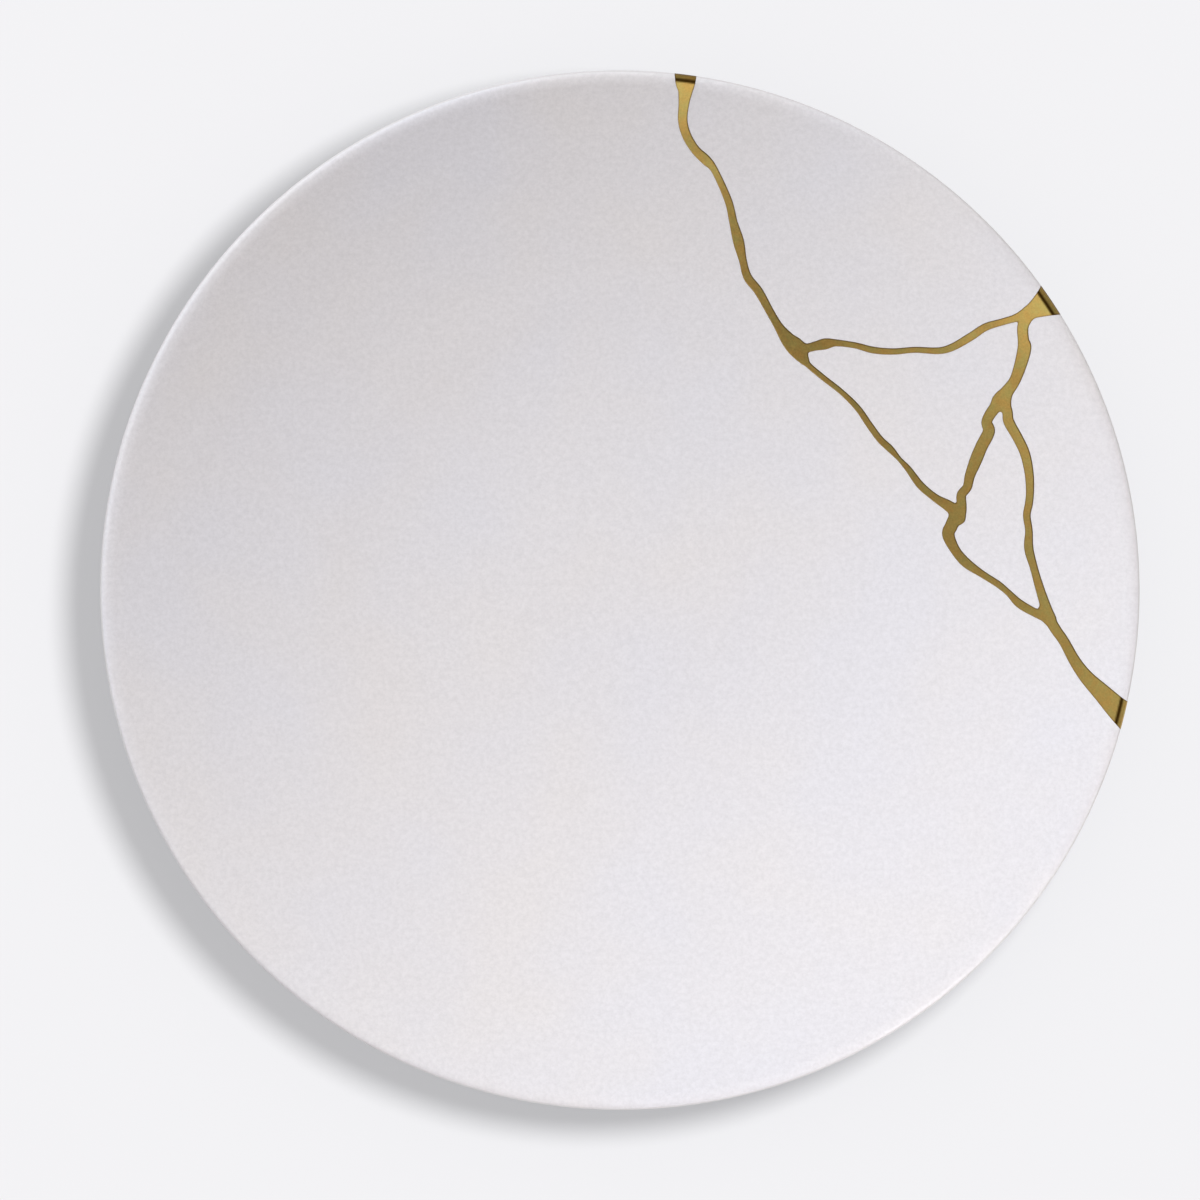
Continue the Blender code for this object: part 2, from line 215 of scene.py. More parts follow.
SEAM_BAND = 7.5


def distance_in_band(x, y):
    """The edge distance of the points near a seam, and the band's width for all others."""
    near = np.zeros(x.shape, bool)
    for seam_x, seam_y, _ in all_routes[::ROUTE_STEPS // 2]:
        near |= (x - seam_x)**2 + (y - seam_y)**2 < SEAM_BAND**2
    distance = np.full(x.shape, SEAM_BAND)
    distance[near] = edge_distance(x[near], y[near])
    return distance


# The edge distance on a square grid round the seams
GRID_PITCH = 0.35
GRID_MARGIN = 9.0
low_x, low_y, _ = all_routes.min(0) - GRID_MARGIN
high_x, high_y, _ = all_routes.max(0) + GRID_MARGIN
grid_x, grid_y = np.meshgrid(np.arange(low_x, high_x, GRID_PITCH),
                             np.arange(low_y, high_y, GRID_PITCH), indexing="ij")
grid_edge = distance_in_band(grid_x, grid_y)


def seam_lines(level, spacing):
    """Closed lines that run at one edge distance all round the seam, as rows of x and y."""
    flat_x, flat_y, value = grid_x.ravel(), grid_y.ravel(), grid_edge.ravel() - level
    rows, columns = grid_x.shape
    corner = (np.arange(rows - 1)[:, None] * columns + np.arange(columns - 1)).ravel()
    far_corner = corner + columns + 1
    triangles = np.vstack([np.stack([corner, corner + columns, far_corner], 1),
                           np.stack([corner, far_corner, corner + 1], 1)])
    inside = value[triangles] < 0
    triangles = triangles[inside.any(1) & ~inside.all(1)]
    # each triangle on the line links the two of its edges that the line crosses
    links = {}
    for triangle in triangles.tolist():
        corner_pairs = zip(triangle, triangle[1:] + triangle[:1])
        first, second = [(min(a, b), max(a, b)) for a, b in corner_pairs
                         if (value[a] < 0) != (value[b] < 0)]
        links.setdefault(first, []).append(second)
        links.setdefault(second, []).append(first)
    lines = []
    while links:
        start = next(iter(links))
        chain = [start]
        step = links.pop(start)[0]
        while step in links:
            chain.append(step)
            options = [other for other in links.pop(step) if other in links]
            if not options:
                break
            step = options[0]
        a, b = np.array(chain).T
        share = value[a] / (value[a] - value[b])
        line = np.stack([flat_x[a] + share * (flat_x[b] - flat_x[a]),
                         flat_y[a] + share * (flat_y[b] - flat_y[a])], 1)
        closed = np.vstack([line, line[:1]])
        length = np.concatenate([[0.0], np.cumsum(np.hypot(*np.diff(closed, axis=0).T))])
        if length[-1] < 6 * spacing:  # too short to be a bank
            continue
        places = np.linspace(0.0, length[-1], int(length[-1] / spacing), endpoint=False)
        lines.append(np.stack([np.interp(places, length, column) for column in closed.T], 1))
    return lines


# One flat sheet of triangles covers the whole plate. It follows both banks of every joint, the
# rings of the lip and the foot, and the rounded edge of the gold.
JOINT = 0.02
BANK_SPACING = 0.35
SHEET_SPACING = 1.9
RING_POINTS = 640
LIP_RINGS = 10
sheet_points = []
sheet_edges = []


def add_line(points, closed):
    """Puts a row of points on the sheet, joined to a closed line where it is one."""
    first = sum(len(part) for part in sheet_points)
    sheet_points.append(points)
    if closed:
        sheet_edges.extend((first + k, first + (k + 1) % len(points)) for k in range(len(points)))


lip_turns = np.linspace(0.0, math.pi / 2, LIP_RINGS)
lip_rings = PLATE_RADIUS - (LIP_WALL / 2) * (1 - np.cos(lip_turns))
for ring in lip_rings.tolist() + sorted(set(foot_radius.round(4).tolist())):
    spokes = np.linspace(0.0, 2 * math.pi, RING_POINTS, endpoint=False)
    add_line(ring * np.stack([np.cos(spokes), np.sin(spokes)], 1), True)
for level in (JOINT / 2, -JOINT / 2):
    for line in seam_lines(level, BANK_SPACING):
        add_line(line, True)

# The gold's edge is rounded over GOLD_ROUND, with lines of points along it, and a fine grid of
# points fills the rest
GOLD_ROUND = 0.34
GOLD_GRID_DEPTH = GOLD_ROUND + 0.2
for level in (-0.07, -0.16, -GOLD_ROUND):
    for line in seam_lines(level, BANK_SPACING):
        add_line(line, False)
gold_grid = grid_edge < -GOLD_GRID_DEPTH
add_line(np.stack([grid_x[gold_grid], grid_y[gold_grid]], 1), False)

# Open glaze gets a coarse spread of points, clear of the lip, the foot ring and the seams
LIP_CLEARANCE = 0.4
FOOT_CLEARANCE = 0.6
SEAM_CLEARANCE = 0.8
ring = SHEET_SPACING
open_points = [(0.0, 0.0)]
while ring < lip_rings[-1] - LIP_CLEARANCE:
    count = max(8, round(2 * math.pi * ring / SHEET_SPACING))
    spokes = np.linspace(0.0, 2 * math.pi, count, endpoint=False) + ring
    open_points.extend(zip(ring * np.cos(spokes), ring * np.sin(spokes)))
    ring += SHEET_SPACING
open_points = np.array(open_points)
from_foot = np.abs(np.hypot(*open_points.T) - FOOT_RADIUS + FOOT_WIDTH / 2)
clear = from_foot > FOOT_WIDTH / 2 + FOOT_ROOT + FOOT_CLEARANCE
cell = ((open_points - (low_x, low_y)) / GRID_PITCH).round().astype(int)
column, row = np.clip(cell, 0, np.array(grid_x.shape) - 1).T
clear &= grid_edge[column, row] > SEAM_CLEARANCE
add_line(open_points[clear], False)

SHEET_WELD = 0.0005
RIM_SLIVER = 0.0004
flat_vertices, _, flat_triangles, *_ = delaunay_2d_cdt(
    [Vector(point) for point in np.vstack(sheet_points)], sheet_edges, [], 0, SHEET_WELD, False)
sheet_xy = np.array([tuple(vertex) for vertex in flat_vertices])
sheet_triangles = np.array([face for face in flat_triangles if len(face) == 3])
middle = sheet_xy[sheet_triangles].mean(1)
sheet_triangles = sheet_triangles[np.hypot(*middle.T) < PLATE_RADIUS - RIM_SLIVER]
middle = sheet_xy[sheet_triangles].mean(1)
middle_edge = distance_in_band(*middle.T)


def shard_numbers(triangles):
    """A number for each triangle, the same for all that hang together."""
    leader = list(range(len(sheet_xy)))

    def find(vertex):
        while leader[vertex] != vertex:
            leader[vertex] = leader[leader[vertex]]
            vertex = leader[vertex]
        return vertex

    for a, b, c in triangles.tolist():
        leader[find(b)] = find(a)
        leader[find(c)] = find(a)
    return np.array([find(a) for a in triangles[:, 0].tolist()])


RIM_REACH = 0.004  # vertices this close to the plate's radius are on the lip's outermost ring


def solid_shard(name, triangles, swell):
    """A closed mesh from triangles of the sheet: its top and underside lie on the turned faces,
    raised by swell, walls stand along the breaks, and at the rim both faces meet in the lip."""
    used = np.unique(triangles)
    place = np.full(len(sheet_xy), -1)
    place[used] = np.arange(len(used))
    flat = place[triangles]
    x, y = sheet_xy[used].T
    radius = np.hypot(x, y)
    rim = radius > PLATE_RADIUS - RIM_REACH
    radius = np.where(rim, RIM_RADIUS, radius)
    turn_x, turn_y = np.cos(np.arctan2(y, x)), np.sin(np.arctan2(y, x))
    raise_by, raise_x, raise_y = swell(x, y)
    uphill = np.stack([raise_x, raise_y, np.zeros(len(x))], 1)
    faces_xyz = []
    faces_normal = []
    for side, face_radius, face_height, face_lean in ((1, top_radius, top_height, top_lean),
                                                      (-1, under_radius, under_height, under_lean)):
        lean = np.interp(radius, face_radius, face_lean)
        height = np.where(rim, LIP_HEIGHT, np.interp(radius, face_radius, face_height))
        normal = np.stack([turn_x * np.sin(lean), turn_y * np.sin(lean), side * np.cos(lean)], 1)
        turned = np.stack([radius * turn_x, radius * turn_y, height], 1)
        faces_xyz.append(turned + normal * raise_by[:, None])
        tilted = normal - uphill * np.abs(np.cos(lean))[:, None]
        faces_normal.append(tilted / np.linalg.norm(tilted, axis=1)[:, None])
    lower = np.where(rim, np.arange(len(used)), len(used) + np.cumsum(~rim) - 1)
    vertices = np.vstack([faces_xyz[0], faces_xyz[1][~rim]]) / 1000
    smooth = np.vstack([faces_normal[0], faces_normal[1][~rim]])

    # the two skins, with the top's triangles counterclockwise
    (ax, ay), (bx, by), (cx, cy) = (sheet_xy[used][flat[:, k]].T for k in range(3))
    clockwise = (bx - ax) * (cy - ay) - (cx - ax) * (by - ay) < 0
    flat[clockwise] = flat[clockwise][:, ::-1]
    faces = flat.tolist()
    faces.extend(lower[flat[:, ::-1]].tolist())
    skin = len(faces)

    # a wall from each side that belongs to one triangle only, but not round the rim
    sides = np.vstack([flat[:, [0, 1]], flat[:, [1, 2]], flat[:, [2, 0]]])
    key = np.sort(sides, 1) @ (len(used), 1)
    _, first, count = np.unique(key, return_index=True, return_counts=True)
    for a, b in sides[first[count == 1]].tolist():
        if rim[a] and rim[b]:
            continue
        corners = [a, int(lower[a]), int(lower[b]), b]
        faces.append([corner for k, corner in enumerate(corners) if corner != corners[k - 1]])

    # the skins are shaded by the turned faces' own normals and the walls are flat
    mesh = bpy.data.meshes.new(name)
    mesh.from_pydata(vertices.tolist(), [], faces)
    mesh.update()
    loop_vertex = np.zeros(len(mesh.loops), np.int32)
    mesh.loops.foreach_get("vertex_index", loop_vertex)
    face_normal = np.zeros(len(mesh.polygons) * 3, np.float32)
    mesh.polygons.foreach_get("normal", face_normal)
    loop_face = np.repeat(np.arange(len(faces)), [len(face) for face in faces])
    loop_normal = smooth[loop_vertex]
    wall = loop_face >= skin
    loop_normal[wall] = face_normal.reshape(-1, 3)[loop_face[wall]]
    mesh.polygons.foreach_set("use_smooth", np.ones(len(faces), bool))
    mesh.normals_split_custom_set(loop_normal.tolist())
    shard = bpy.data.objects.new(name, mesh)
    bpy.context.scene.collection.objects.link(shard)
    return shard


def no_swell(x, y):
    """Porcelain lies on its own turned face: no rise, and no slope along x or y."""
    return np.zeros(len(x)), np.zeros(len(x)), np.zeros(len(x))


def linear(hex_colour):
    """sRGB hex to linear, with alpha."""
    channels = [int(hex_colour[k:k + 2], 16) / 255 for k in (1, 3, 5)]
    return [c / 12.92 if c <= 0.04045 else ((c + 0.055) / 1.055)**2.4 for c in channels] + [1.0]


def add_node(tree, kind, settings=None, **links):
    """One node with its settings, and links or values for its inputs: by name, with underscores for
    spaces, or by number as input_0, input_1 and so on."""
    node = tree.nodes.new(kind)
    for setting, value in (settings or {}).items():
        setattr(node, setting, value)
    for name, value in links.items():
        numbered = name.startswith("input_")
        socket = node.inputs[int(name[6:])] if numbered else node.inputs[name.replace("_", " ")]
        if isinstance(value, bpy.types.NodeSocket):
            tree.links.new(value, socket)
        else:
            socket.default_value = value
    return node


def new_material(name):
    """An empty material with its shader, whose sockets are set by the section that uses it."""
    material = bpy.data.materials.new(name)
    material.use_nodes = True
    tree = material.node_tree
    tree.nodes.clear()
    output = tree.nodes.new("ShaderNodeOutputMaterial")
    shader = tree.nodes.new("ShaderNodeBsdfPrincipled")
    tree.links.new(shader.outputs[0], output.inputs["Surface"])
    return material, tree, shader


# Satin-glazed porcelain: a dense white body under a thin glaze that was fired to a soft sheen. The
# eye gets a broad, weak highlight, a very fine orange-peel grain and a faint cool-to-warm cloud.
GLAZE_ROUGHNESS = 0.28
GLAZE_CLOUD = 45.45
# An orange peel of about 0.3 mm is too fine for a view of the whole plate, so it is drawn coarser
GLAZE_GRAIN = 1.111
GRAIN_DEPTH = 0.02
glaze, tree, shader = new_material("satin_glazed_porcelain")
shader.inputs["Roughness"].default_value = GLAZE_ROUGHNESS
shader.inputs["IOR"].default_value = 1.5
where = add_node(tree, "ShaderNodeTexCoord").outputs["Object"]
cloud = add_node(tree, "ShaderNodeTexNoise", Vector=where, Scale=1000 / GLAZE_CLOUD, Detail=2.0,
                 Roughness=0.5)
speck = add_node(tree, "ShaderNodeTexNoise", Vector=where, Scale=1000 / GLAZE_GRAIN, Detail=3.0,
                 Roughness=0.7)
cloud_range = add_node(tree, "ShaderNodeMapRange", input_0=cloud.outputs["Fac"], input_1=0.3,
                       input_2=0.7)
cloud_tint = add_node(tree, "ShaderNodeMix", {"data_type": "RGBA"}, input_0=cloud_range.outputs[0],
                      input_6=linear("#EAE7E8"), input_7=linear("#E8E7EC"))
speck_range = add_node(tree, "ShaderNodeMapRange", input_0=speck.outputs["Fac"], input_1=0.3,
                       input_2=0.7, input_3=0.93, input_4=1.04)
specked = add_node(tree, "ShaderNodeMix", {"data_type": "RGBA", "blend_type": "MULTIPLY"},
                   input_0=1.0, input_6=cloud_tint.outputs[2], input_7=speck_range.outputs[0])

# Painted shade: a fine grey line is painted over the outermost edge of the lip, where its round
# turns down and away from the light
EDGE_SHADE_FROM = 134.3
EDGE_SHADE_TO = 134.92
around = add_node(tree, "ShaderNodeVectorMath", {"operation": "MULTIPLY"}, input_0=where,
                  input_1=(1.0, 1.0, 0.0))
from_middle = add_node(tree, "ShaderNodeVectorMath", {"operation": "LENGTH"},
                       input_0=around.outputs[0])
painted_edge_shade = add_node(tree, "ShaderNodeMapRange", {"interpolation_type": "SMOOTHSTEP"},
                     input_0=from_middle.outputs["Value"], input_1=EDGE_SHADE_FROM / 1000,
                     input_2=EDGE_SHADE_TO / 1000)
# The glaze's colour with the painted grey edge shade mixed in towards the rim
glazed = add_node(tree, "ShaderNodeMix", {"data_type": "RGBA"}, input_0=painted_edge_shade.outputs[0],
                  input_6=specked.outputs[2], input_7=linear("#CAC6C7"))

# The bare sole of the foot: matt biscuit, a little warmer, below a glaze line that wavers
BISCUIT_ROUGHNESS = 0.85
GLAZE_LINE = 0.1
LINE_WAVER = 0.5
WAVER_LENGTH = 8.333
height = add_node(tree, "ShaderNodeSeparateXYZ", Vector=where).outputs["Z"]
waver = add_node(tree, "ShaderNodeTexNoise", Vector=where, Scale=1000 / WAVER_LENGTH, Detail=1.0)
glaze_line = add_node(tree, "ShaderNodeMath", {"operation": "MULTIPLY_ADD"},
                      input_0=waver.outputs["Fac"], input_1=LINE_WAVER / 1000,
                      input_2=GLAZE_LINE / 1000)
bare = add_node(tree, "ShaderNodeMath", {"operation": "LESS_THAN"}, input_0=height,
                input_1=glaze_line.outputs[0])
colour = add_node(tree, "ShaderNodeMix", {"data_type": "RGBA"}, input_0=bare.outputs[0],
                  input_6=glazed.outputs[2], input_7=linear("#D6CFC4"))
roughness = add_node(tree, "ShaderNodeMix", {"data_type": "FLOAT"}, input_0=bare.outputs[0],
                     input_2=GLAZE_ROUGHNESS, input_3=BISCUIT_ROUGHNESS)
peel = add_node(tree, "ShaderNodeTexNoise", Vector=where, Scale=1000 / GLAZE_GRAIN, Detail=1.0)
relief = add_node(tree, "ShaderNodeBump", Height=peel.outputs["Fac"], Strength=0.25,
                  Distance=GRAIN_DEPTH / 1000)
tree.links.new(colour.outputs[2], shader.inputs["Base Color"])
tree.links.new(roughness.outputs[0], shader.inputs["Roughness"])
tree.links.new(relief.outputs[0], shader.inputs["Normal"])

# A spot on each shard tells which of the sheet's patches it is. A triangle that lies on a bank may
# reach past it by a hair.
SHARD_SPOTS = {
    "plate_body": (-27.0, -13.5),
    "upper_rim_shard": (74.3, 91.8),
    "inner_shard": (83.7, 43.2),
    "sliver_shard": (97.2, 16.2),
    "right_rim_shard": (122.8, 13.5),
}
BANK_HAIR = 0.003
porcelain = sheet_triangles[middle_edge > JOINT / 2 - BANK_HAIR]
numbers = shard_numbers(porcelain)
middle = sheet_xy[porcelain].mean(1)
porcelain_shards = []
for node, (x, y) in SHARD_SPOTS.items():
    number = numbers[np.argmin(np.hypot(middle[:, 0] - x, middle[:, 1] - y))]
    shard = solid_shard("glazed_" + node, porcelain[numbers == number], no_swell)
    shard.data.materials.append(glaze)
    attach(shard, "root")
    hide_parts(node)
    porcelain_shards.append(shard)

# GOLD SEAM
# The shards are joined with urushi lacquer, which fills the joint right through the wall. It was
# laid a hair proud of both faces, dusted with gold while tacky and polished.
GOLD_PROUD = 0.10
GOLD_LIFT = 0.015  # at its very edge
SWELL_STEP = 0.01
SWELL_SOFTENING = 0.06  # keeps the round from standing upright at its foot


def gold_swell(x, y):
    """How far the gold stands off the glaze, and how fast that rises along x and y."""
    depth = -edge_distance(x, y)
    toward_x = -(edge_distance(x + SWELL_STEP, y) + depth) / SWELL_STEP
    toward_y = -(edge_distance(x, y + SWELL_STEP) + depth) / SWELL_STEP
    share = np.clip(depth / GOLD_ROUND, 0.0, 1.0)
    lip_fade = np.clip((PLATE_RADIUS - np.hypot(x, y)) / LIP_WALL, 0.0, 1.0)
    full = (GOLD_PROUD - GOLD_LIFT) * lip_fade
    rounded = 1 - (1 - share)**2
    rise = GOLD_LIFT + full * np.sqrt(rounded)
    steep = full / GOLD_ROUND * (1 - share) / np.sqrt(np.maximum(rounded, SWELL_SOFTENING))
    return rise, steep * toward_x, steep * toward_y


gold_triangles = sheet_triangles[middle_edge < -JOINT / 2 + BANK_HAIR]
seam = solid_shard("gold_lacquer_seam", gold_triangles, gold_swell)
seam_xyz = np.zeros(len(seam.data.vertices) * 3, np.float32)
seam.data.vertices.foreach_get("co", seam_xyz)
seam_xyz = seam_xyz.reshape(-1, 3) * 1000
seam_depth = seam.data.attributes.new("edge_depth", "FLOAT", "POINT")
depth_values = -edge_distance(seam_xyz[:, 0], seam_xyz[:, 1])
seam_depth.data.foreach_set("value", depth_values.astype(np.float32))

# Painted dark reflection on the gold over the lip, whose round mirrors dark surroundings: it goes
# towards the brown lacquer in a band on its crest, and over the rest of its round the more, the
# further towards +Y.
LIP_SHADE_BAND = 0.42
LIP_SHADE_FADE = 0.2
seam_radius = np.hypot(seam_xyz[:, 0], seam_xyz[:, 1])
crest = np.exp(-((seam_radius - LIP_RADIUS) / LIP_SHADE_BAND)**4)
toward_y = seam_xyz[:, 1] / seam_radius
outermost = np.clip((seam_radius - RIM_RADIUS + LIP_SHADE_BAND) / LIP_SHADE_FADE, 0.0, 1.0)
outermost = outermost * np.clip(0.3 + 1.5 * toward_y, 0.0, 1.0)
between = np.clip(0.3 + 0.3 * toward_y, 0.1, 0.6) * (seam_radius > LIP_RADIUS)
seam_lip_shade = seam.data.attributes.new("lip_painted_shade", "FLOAT", "POINT")
lip_shade_values = np.maximum(np.maximum(crest, outermost), between)
seam_lip_shade.data.foreach_set("value", lip_shade_values.astype(np.float32))

# Gold dust on lacquer, burnished to satin: a metal that scatters its highlight widely, olive to
# orange from patch to patch, and painted darker along its edges over the band width below, as
# painted shade.
GOLD_PATCH = 3.125
GOLD_EDGE_SHADE = 0.42
# Dust grains of some 0.03 mm are too fine to show, so the grain is drawn as coarse as these
DUST_GRAIN = 0.5
DUST_HEAPS = 1.4286
HEAP_DEPTH = 0.04
gilt, tree, shader = new_material("burnished_gold_dust")
shader.inputs["Metallic"].default_value = 1.0
where = add_node(tree, "ShaderNodeTexCoord").outputs["Object"]
patches = add_node(tree, "ShaderNodeTexNoise", Vector=where, Scale=1000 / GOLD_PATCH, Detail=2.0,
                   Roughness=0.6)
patch_range = add_node(tree, "ShaderNodeMapRange", input_0=patches.outputs["Fac"], input_1=0.35,
                       input_2=0.65)
patch_tint = add_node(tree, "ShaderNodeMix", {"data_type": "RGBA"}, input_0=patch_range.outputs[0],
                      input_6=linear("#C8B469"), input_7=linear("#D1AC61"))
dust = add_node(tree, "ShaderNodeTexNoise", Vector=where, Scale=1000 / DUST_GRAIN, Detail=2.0,
                Roughness=0.7)
dust_range = add_node(tree, "ShaderNodeMapRange", input_0=dust.outputs["Fac"], input_1=0.3,
                      input_2=0.7, input_3=0.86, input_4=1.06)
dusted = add_node(tree, "ShaderNodeMix", {"data_type": "RGBA", "blend_type": "MULTIPLY"},
                  input_0=1.0, input_6=patch_tint.outputs[2], input_7=dust_range.outputs[0])
depth = add_node(tree, "ShaderNodeAttribute", {"attribute_name": "edge_depth"}).outputs["Fac"]
# Painted shade: the gold's colour darkens to a dull brown towards the seam's edge
edge_shade_share = add_node(tree, "ShaderNodeMapRange", {"interpolation_type": "SMOOTHSTEP"},
                      input_0=depth, input_1=0.0, input_2=GOLD_EDGE_SHADE)
edge_shaded_gold = add_node(tree, "ShaderNodeMix", {"data_type": "RGBA"}, input_0=edge_shade_share.outputs[0],
                   input_6=linear("#8A7248"), input_7=dusted.outputs[2])
# Painted dark reflection on the lip's crest and outer round, mixed towards the lacquer's brown
lip_shade = add_node(tree, "ShaderNodeAttribute", {"attribute_name": "lip_painted_shade"}).outputs["Fac"]
gold_colour = add_node(tree, "ShaderNodeMix", {"data_type": "RGBA"}, input_0=lip_shade,
                       input_6=edge_shaded_gold.outputs[2], input_7=linear("#664C1C"))
gold_rough = add_node(tree, "ShaderNodeMapRange", input_0=dust.outputs["Fac"], input_1=0.3,
                      input_2=0.7, input_3=0.3, input_4=0.42)
uneven = add_node(tree, "ShaderNodeTexNoise", Vector=where, Scale=1000 / DUST_HEAPS, Detail=2.0)
dust_relief = add_node(tree, "ShaderNodeBump", Height=uneven.outputs["Fac"], Strength=0.5,
                       Distance=HEAP_DEPTH / 1000)
tree.links.new(gold_colour.outputs[2], shader.inputs["Base Color"])
tree.links.new(gold_rough.outputs[0], shader.inputs["Roughness"])
tree.links.new(dust_relief.outputs[0], shader.inputs["Normal"])
seam.data.materials.append(gilt)
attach(seam, "root")
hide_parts("gold_seam")

# FLOOR
# A plain pale table top of matt board, which only carries the plate and its shadow. It lies a
# twentieth of a millimetre lower than the sole of the foot, so that the two faces never meet.
FLOOR_HALF = 3.0
FLOOR_GAP = 0.05
floor_mesh = bpy.data.meshes.new("floor")
floor_corners = [(-FLOOR_HALF, -FLOOR_HALF, 0), (FLOOR_HALF, -FLOOR_HALF, 0),
                 (FLOOR_HALF, FLOOR_HALF, 0), (-FLOOR_HALF, FLOOR_HALF, 0)]
floor_mesh.from_pydata(floor_corners, [], [(0, 1, 2, 3)])
floor = bpy.data.objects.new("floor", floor_mesh)
floor.location.z = -FLOOR_GAP / 1000
bpy.context.scene.collection.objects.link(floor)
board, tree, shader = new_material("matt_board")
shader.inputs["Base Color"].default_value = linear("#E4E4E6")
shader.inputs["Roughness"].default_value = 0.9
shader.inputs["Specular IOR Level"].default_value = 0.1
floor.data.materials.append(board)

# LIGHT
# Soft studio light: a dim pale room, soft boxes round the plate and two panels close to its lower
# right for the glaze, dimmer boxes for the gold's sheen, and for the floor a soft bulb from the
# upper right with an even fill. Lengths are in metres, and tints are linear.
world = bpy.data.worlds.new("studio")
bpy.context.scene.world = world
world.use_nodes = True
tree = world.node_tree
tree.nodes.clear()
room = add_node(tree, "ShaderNodeBackground", Color=(1.0, 0.89, 0.82, 1.0), Strength=0.175)
backdrop = add_node(tree, "ShaderNodeBackground", Color=linear("#F2F2F4"), Strength=1.0)
seen = add_node(tree, "ShaderNodeLightPath").outputs["Is Camera Ray"]
either = add_node(tree, "ShaderNodeMixShader", input_0=seen, input_1=room.outputs[0],
                  input_2=backdrop.outputs[0])
add_node(tree, "ShaderNodeOutputWorld", Surface=either.outputs[0])


def lit_pieces(name, pieces):
    """A collection of the pieces that some of the lights are kept to."""
    collection = bpy.data.collections.new(name)
    for piece in pieces:
        collection.objects.link(piece)
    return collection


gold_only = lit_pieces("lit_gold", [seam])
porcelain_only = lit_pieces("lit_porcelain", porcelain_shards)
floor_only = lit_pieces("lit_floor", [floor])
PLATE_MIDDLE = (0.0, 0.0, 0.015)


def soft_light(name, glow, tint, place, size, lit, mirrored=True, diffuse=True, aim=PLATE_MIDDLE):
    """A square light of one radiance and tint, at a place, turned to its aim, that lights only one
    collection. It isn't seen itself, and shows in the sheen only where it is mirrored."""
    data = bpy.data.lights.new(name, "AREA")
    data.shape = "SQUARE"
    data.size = size
    data.energy = glow * math.pi * size**2
    data.color = tint
    data.cycles.max_bounces = 0
    light = bpy.data.objects.new(name, data)
    bpy.context.scene.collection.objects.link(light)
    light.location = place
    light.rotation_euler = (Vector(place) - Vector(aim)).to_track_quat("Z", "Y").to_euler()
    light.visible_camera = False
    light.visible_glossy = mirrored
    light.visible_diffuse = diffuse
    light.light_linking.receiver_collection = lit


def round_plate(azimuth, elevation, distance):
    """A place round the plate, by its azimuth from +X and its height angle over the lip."""
    around, up = math.radians(azimuth), math.radians(elevation)
    return (distance * math.cos(around) * math.cos(up), distance * math.sin(around) * math.cos(up),
            distance * math.sin(up) + 0.02)


# Azimuth, elevation, glow and tint of each soft box for the glaze. The strong ones stay out of its
# sheen, where they would blind every low view.
BOX_DISTANCE = 1.6
BOX_SIZE = 0.85
STRONG_GLOW = 1.5
COOL = (0.88, 0.94, 1.0)
LILAC = (0.98, 0.97, 1.0)
PLAIN = (1.0, 1.0, 1.0)
WARM = (1.0, 0.985, 0.955)
SOFT_BOXES = (
    (135, 15, 2.2, COOL), (180, 15, 1.5, COOL), (90, 28, 5.5, PLAIN), (135, 28, 2.0, COOL),
    (225, 28, 0.5, LILAC), (180, 45, 0.5, PLAIN), (225, 45, 1.27, LILAC), (270, 45, 0.53, PLAIN),
    (180, 65, 0.08, PLAIN), (0, 28, 0.25, PLAIN),
)
for azimuth, elevation, glow, tint in SOFT_BOXES:
    soft_light(f"soft_box_{azimuth}_{elevation}", glow, tint,
               round_plate(azimuth, elevation, BOX_DISTANCE), BOX_SIZE, porcelain_only,
               mirrored=glow < STRONG_GLOW)

# Azimuth, distance, height, glow and tint of the panels, which face straight down
NEAR_PANELS = ((300, 0.45, 0.45, 7.6, LILAC), (315, 0.6, 0.3, 9.8, WARM))
for azimuth, away, height, glow, tint in NEAR_PANELS:
    x, y = away * math.cos(math.radians(azimuth)), away * math.sin(math.radians(azimuth))
    soft_light(f"near_panel_{azimuth}", glow, tint, (x, y, height), 0.25, porcelain_only,
               mirrored=False, aim=(x, y, 0.0))

# One small lamp beyond the panels draws the white line on the lip. Another stands so low that the
# rim shades the dish from it, and lights the lip's round at the right.
soft_light("lip_lamp", 40.0, PLAIN, round_plate(305, 28, BOX_DISTANCE), 0.15, porcelain_only,
           diffuse=False)
soft_light("rim_lamp", 208.0, PLAIN, round_plate(10, 0.7, BOX_DISTANCE), 0.06, porcelain_only,
           mirrored=False)

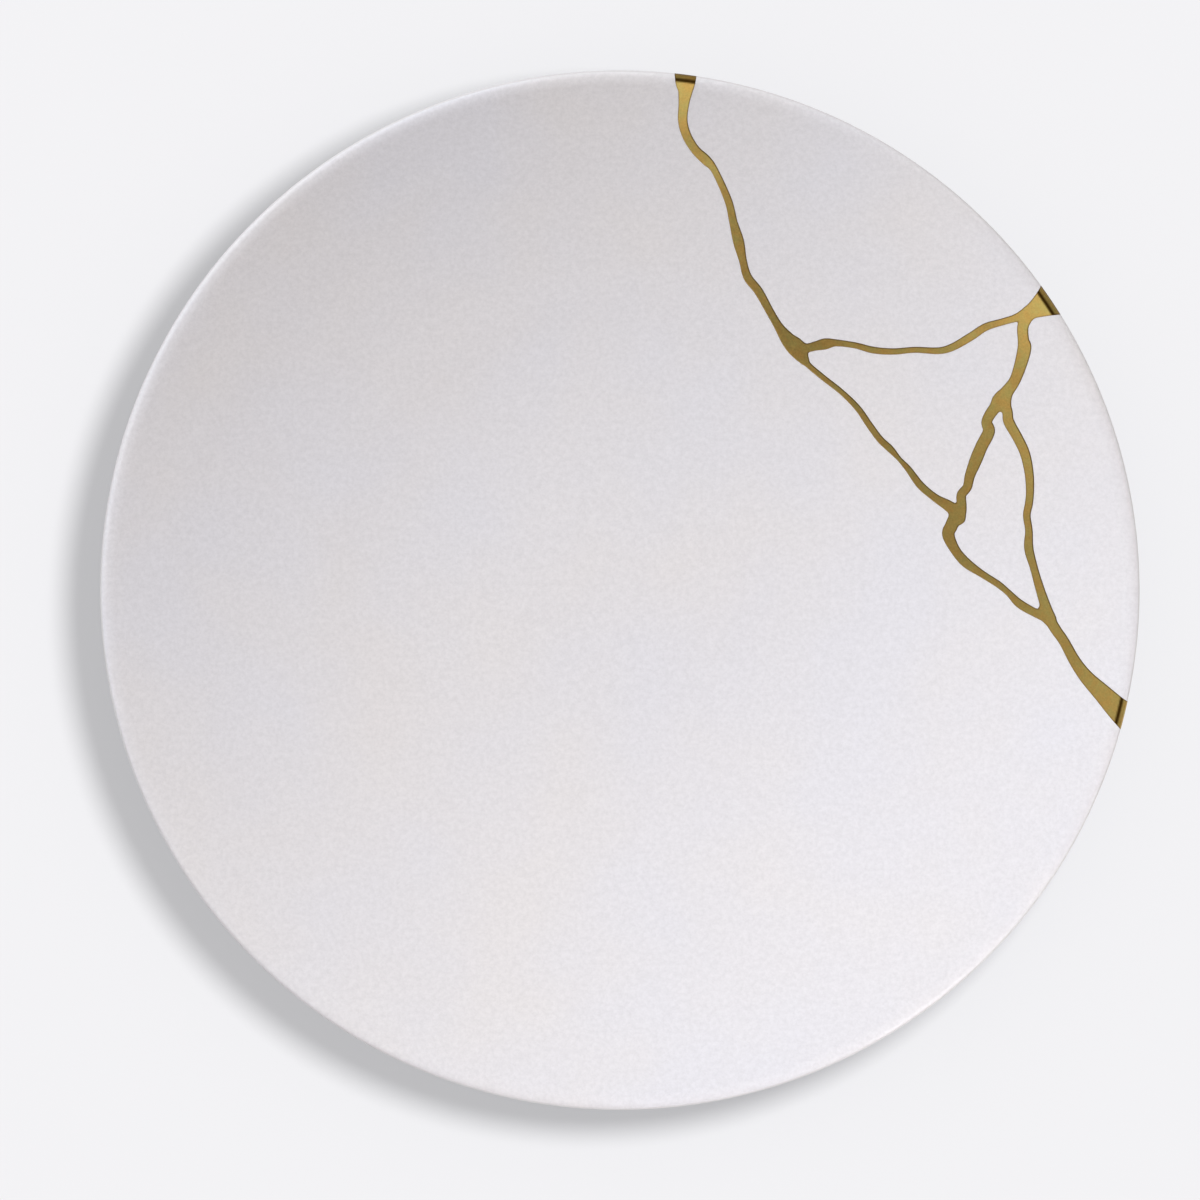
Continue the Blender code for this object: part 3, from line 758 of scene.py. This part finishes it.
# Azimuth, elevation and glow of the boxes that the gold mirrors, most of them towards -X and -Y,
# where the seam's side of the dish leans
GOLD_BOXES = (
    (180, 28, 1.0), (225, 15, 1.0), (225, 28, 1.0), (225, 45, 1.0), (270, 15, 1.0),
    (270, 28, 1.0), (270, 45, 1.0), (135, 45, 0.26), (180, 45, 0.5), (180, 65, 0.18),
    (0, 28, 0.9), (45, 28, 0.7), (90, 28, 0.9), (315, 28, 0.9),
)
for azimuth, elevation, glow in GOLD_BOXES:
    soft_light(f"gold_box_{azimuth}_{elevation}", glow, PLAIN,
               round_plate(azimuth, elevation, BOX_DISTANCE), BOX_SIZE, gold_only)

# The key for the floor is a round soft bulb. Its strength grows with the distance it reaches, so
# that the board is lit evenly.
key_data = bpy.data.lights.new("floor_key", "POINT")
key_data.shadow_soft_size = 0.175
key_data.energy = 16.8
key_data.cycles.max_bounces = 1
key_data.use_nodes = True
tree = key_data.node_tree
tree.nodes.clear()
falloff = add_node(tree, "ShaderNodeLightFalloff", Strength=1.0).outputs["Constant"]
reach = add_node(tree, "ShaderNodeLightPath").outputs["Ray Length"]
even = add_node(tree, "ShaderNodeMath", {"operation": "MULTIPLY"}, input_0=falloff, input_1=reach)
bulb = add_node(tree, "ShaderNodeEmission", Strength=even.outputs[0])
add_node(tree, "ShaderNodeOutputLight", Surface=bulb.outputs[0])
key = bpy.data.objects.new("floor_key", key_data)
bpy.context.scene.collection.objects.link(key)
key.location = round_plate(30, 70, 1.15)
key.visible_camera = False
key.light_linking.receiver_collection = floor_only

# The fill for the floor is even and casts no shadow, because only the floor itself can block it
fill_data = bpy.data.lights.new("floor_fill", "SUN")
fill_data.energy = 1.68
fill_data.color = (0.975, 1.0, 1.025)
fill_data.cycles.max_bounces = 1
fill = bpy.data.objects.new("floor_fill", fill_data)
bpy.context.scene.collection.objects.link(fill)
fill.light_linking.receiver_collection = floor_only
fill.light_linking.blocker_collection = floor_only

# CAMERA
# Straight above through a long lens, as the plate was photographed, with the plate a little right
# of and above the middle of the frame.
camera_data = bpy.data.cameras.new("camera")
camera_data.sensor_width = 36.0
camera_data.lens = 288.73
camera_data.clip_end = 20.0
camera = bpy.data.objects.new("camera", camera_data)
bpy.context.scene.collection.objects.link(camera)
camera.location = (-0.00518, -0.00257, 2.5243)
bpy.context.scene.camera = camera
bpy.context.scene.view_settings.view_transform = "Standard"
